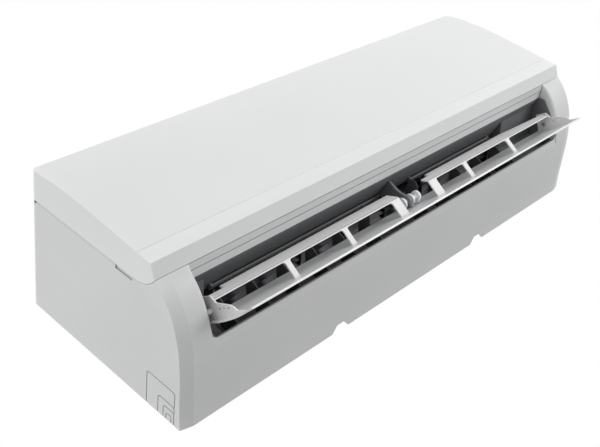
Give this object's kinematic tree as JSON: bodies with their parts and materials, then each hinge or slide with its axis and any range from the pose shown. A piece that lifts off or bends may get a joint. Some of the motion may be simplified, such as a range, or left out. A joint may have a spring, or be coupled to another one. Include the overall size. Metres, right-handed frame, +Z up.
{
  "type": "mini split indoor unit",
  "caption": "Wall-mounted indoor unit of a split air conditioner with hinged front panel, open outlet flap, vertical vanes, cross-flow fan and wrapped coil.",
  "frame": {"origin": "point of the wall face half way along the width, 139.6 mm above the lower rear edge", "axes": "+X to the right seen from the room, -Y towards the room, +Z up; the wall face is y = 0"},
  "size_m": [0.79, 0.2008, 0.3059],
  "materials": {
    "casing_white": "satin",
    "panel_white": "semi-gloss",
    "flap_white": "satin",
    "frame_grey": "satin",
    "duct_grey": "matt",
    "vane_grey": "matt",
    "fan_black": "matt",
    "filter_grey": "matt",
    "fin_aluminium": "satin",
    "tube_copper": "satin",
    "union_brass": "satin",
    "zinc_steel": "satin",
    "motor_steel": "satin",
    "pan_plastic": "matt",
    "chassis_plastic": "matt",
    "board_green": "satin",
    "lid_steel": "satin",
    "terminal_plastic": "matt",
    "inlet_rubber": "matt",
    "shaft_steel": "satin"
  },
  "bodies": {
    "unit_body": {"front_casing": "casing_white", "outlet_duct": "duct_grey", "flap_motor": "motor_steel", "fan_bearing": "inlet_rubber", "fan_motor": "motor_steel", "motor_clamp": "chassis_plastic", "motor_clamp_screws": "shaft_steel", "coil_front_lower": "fin_aluminium", "coil_front_upper": "fin_aluminium", "coil_rear": "fin_aluminium", "tube_plate_left": "zinc_steel", "tube_plate_right": "zinc_steel", "tube_bends_left": "tube_copper", "tube_bends_right": "tube_copper", "gas_pipe": "tube_copper", "liquid_pipe": "tube_copper", "gas_union": "union_brass", "liquid_union": "union_brass", "pipe_clips": "chassis_plastic", "drain_pan": "pan_plastic", "drain_spout": "pan_plastic", "chassis": "chassis_plastic", "wall_plate": "zinc_steel", "cable_inlet": "inlet_rubber", "control_box": "chassis_plastic", "control_box_lid": "lid_steel", "main_board": "board_green", "terminal_block": "terminal_plastic", "display_board": "board_green"},
    "front_panel": {"front_panel": "panel_white"},
    "filter_left": {"air_filter_left": "filter_grey"},
    "filter_right": {"air_filter_right": "filter_grey"},
    "flap": {"flap_plate": "flap_white", "flap_frame_left": "frame_grey", "flap_frame_right": "frame_grey", "flap_pin": "flap_white", "flap_motor_shaft": "shaft_steel"},
    "fan": {"fan_wheel": "fan_black", "motor_shaft": "shaft_steel", "fan_stub_shaft": "shaft_steel"},
    "button": {"emergency_button": "casing_white"},
    "link_left": {"link_bar_left": "vane_grey"},
    "link_right": {"link_bar_right": "vane_grey"},
    "swing_vane_left_1": {"swing_vane_left_1": "vane_grey"},
    "swing_vane_left_2": {"swing_vane_left_2": "vane_grey"},
    "swing_vane_left_3": {"swing_vane_left_3": "vane_grey"},
    "swing_vane_left_4": {"swing_vane_left_4": "vane_grey"},
    "swing_vane_left_5": {"swing_vane_left_5": "vane_grey"},
    "swing_vane_left_6": {"swing_vane_left_6": "vane_grey"},
    "swing_vane_right_1": {"swing_vane_right_1": "vane_grey"},
    "swing_vane_right_2": {"swing_vane_right_2": "vane_grey"},
    "swing_vane_right_3": {"swing_vane_right_3": "vane_grey"},
    "swing_vane_right_4": {"swing_vane_right_4": "vane_grey"},
    "swing_vane_right_5": {"swing_vane_right_5": "vane_grey"}
  },
  "joints": [
    {"name": "panel_hinge", "type": "hinge", "parent": "unit_body", "child": "front_panel", "pos_m": [0, -0.1595, 0.12652], "axis": [-1, 0, 0], "range_deg": [0, 60]},
    {"name": "flap_hinge", "type": "hinge", "parent": "unit_body", "child": "flap", "pos_m": [0, -0.1235, -0.1131], "axis": [1, 0, 0], "range_deg": [-80, 5]},
    {"name": "fan_spin", "type": "hinge", "parent": "unit_body", "child": "fan", "pos_m": [0, -0.074, -0.03], "axis": [1, 0, 0], "continuous": true},
    {"name": "filter_left_slide", "type": "slide", "parent": "unit_body", "child": "filter_left", "axis": [0, 0, 1], "range_m": [0, 0.012]},
    {"name": "filter_right_slide", "type": "slide", "parent": "unit_body", "child": "filter_right", "axis": [0, 0, 1], "range_m": [0, 0.012]},
    {"name": "button_press", "type": "slide", "parent": "unit_body", "child": "button", "axis": [0, 1, 0], "range_m": [0, 0.002], "stiffness_N_per_m": 300},
    {"name": "swing_vane_left_6_turn", "type": "hinge", "parent": "unit_body", "child": "swing_vane_left_6", "pos_m": [-0.0525, -0.078, -0.112], "axis": [0, -0.436, 0.8999], "range_deg": [-30, 30]},
    {"name": "swing_vane_left_1_turn", "type": "hinge", "parent": "unit_body", "child": "swing_vane_left_1", "pos_m": [-0.3025, -0.078, -0.112], "axis": [0, -0.436, 0.8999], "range_deg": [-30, 30]},
    {"name": "swing_vane_left_2_turn", "type": "hinge", "parent": "unit_body", "child": "swing_vane_left_2", "pos_m": [-0.2525, -0.078, -0.112], "axis": [0, -0.436, 0.8999], "range_deg": [-30, 30]},
    {"name": "swing_vane_left_3_turn", "type": "hinge", "parent": "unit_body", "child": "swing_vane_left_3", "pos_m": [-0.2025, -0.078, -0.112], "axis": [0, -0.436, 0.8999], "range_deg": [-30, 30]},
    {"name": "swing_vane_left_4_turn", "type": "hinge", "parent": "unit_body", "child": "swing_vane_left_4", "pos_m": [-0.1525, -0.078, -0.112], "axis": [0, -0.436, 0.8999], "range_deg": [-30, 30]},
    {"name": "swing_vane_left_5_turn", "type": "hinge", "parent": "unit_body", "child": "swing_vane_left_5", "pos_m": [-0.1025, -0.078, -0.112], "axis": [0, -0.436, 0.8999], "range_deg": [-30, 30]},
    {"name": "link_left_slide", "type": "slide", "parent": "unit_body", "child": "link_left", "axis": [1, 0, 0], "range_m": [-0.0053, 0.0053]},
    {"name": "swing_vane_right_1_turn", "type": "hinge", "parent": "unit_body", "child": "swing_vane_right_1", "pos_m": [0.0475, -0.078, -0.112], "axis": [0, -0.436, 0.8999], "range_deg": [-30, 30]},
    {"name": "swing_vane_right_2_turn", "type": "hinge", "parent": "unit_body", "child": "swing_vane_right_2", "pos_m": [0.0975, -0.078, -0.112], "axis": [0, -0.436, 0.8999], "range_deg": [-30, 30]},
    {"name": "swing_vane_right_3_turn", "type": "hinge", "parent": "unit_body", "child": "swing_vane_right_3", "pos_m": [0.1475, -0.078, -0.112], "axis": [0, -0.436, 0.8999], "range_deg": [-30, 30]},
    {"name": "swing_vane_right_4_turn", "type": "hinge", "parent": "unit_body", "child": "swing_vane_right_4", "pos_m": [0.1975, -0.078, -0.112], "axis": [0, -0.436, 0.8999], "range_deg": [-30, 30]},
    {"name": "swing_vane_right_5_turn", "type": "hinge", "parent": "unit_body", "child": "swing_vane_right_5", "pos_m": [0.2475, -0.078, -0.112], "axis": [0, -0.436, 0.8999], "range_deg": [-30, 30]},
    {"name": "link_right_slide", "type": "slide", "parent": "unit_body", "child": "link_right", "axis": [1, 0, 0], "range_m": [-0.0053, 0.0053]}
  ],
  "couplings": [
    {"joint": "swing_vane_left_1_turn", "follows": "swing_vane_left_6_turn", "ratio": 1},
    {"joint": "swing_vane_left_2_turn", "follows": "swing_vane_left_6_turn", "ratio": 1},
    {"joint": "swing_vane_left_3_turn", "follows": "swing_vane_left_6_turn", "ratio": 1},
    {"joint": "swing_vane_left_4_turn", "follows": "swing_vane_left_6_turn", "ratio": 1},
    {"joint": "swing_vane_left_5_turn", "follows": "swing_vane_left_6_turn", "ratio": 1},
    {"joint": "link_left_slide", "follows": "swing_vane_left_6_turn", "m_per_rad": -0.01},
    {"joint": "swing_vane_right_2_turn", "follows": "swing_vane_right_1_turn", "ratio": 1},
    {"joint": "swing_vane_right_3_turn", "follows": "swing_vane_right_1_turn", "ratio": 1},
    {"joint": "swing_vane_right_4_turn", "follows": "swing_vane_right_1_turn", "ratio": 1},
    {"joint": "swing_vane_right_5_turn", "follows": "swing_vane_right_1_turn", "ratio": 1},
    {"joint": "link_right_slide", "follows": "swing_vane_right_1_turn", "m_per_rad": -0.01}
  ]
}
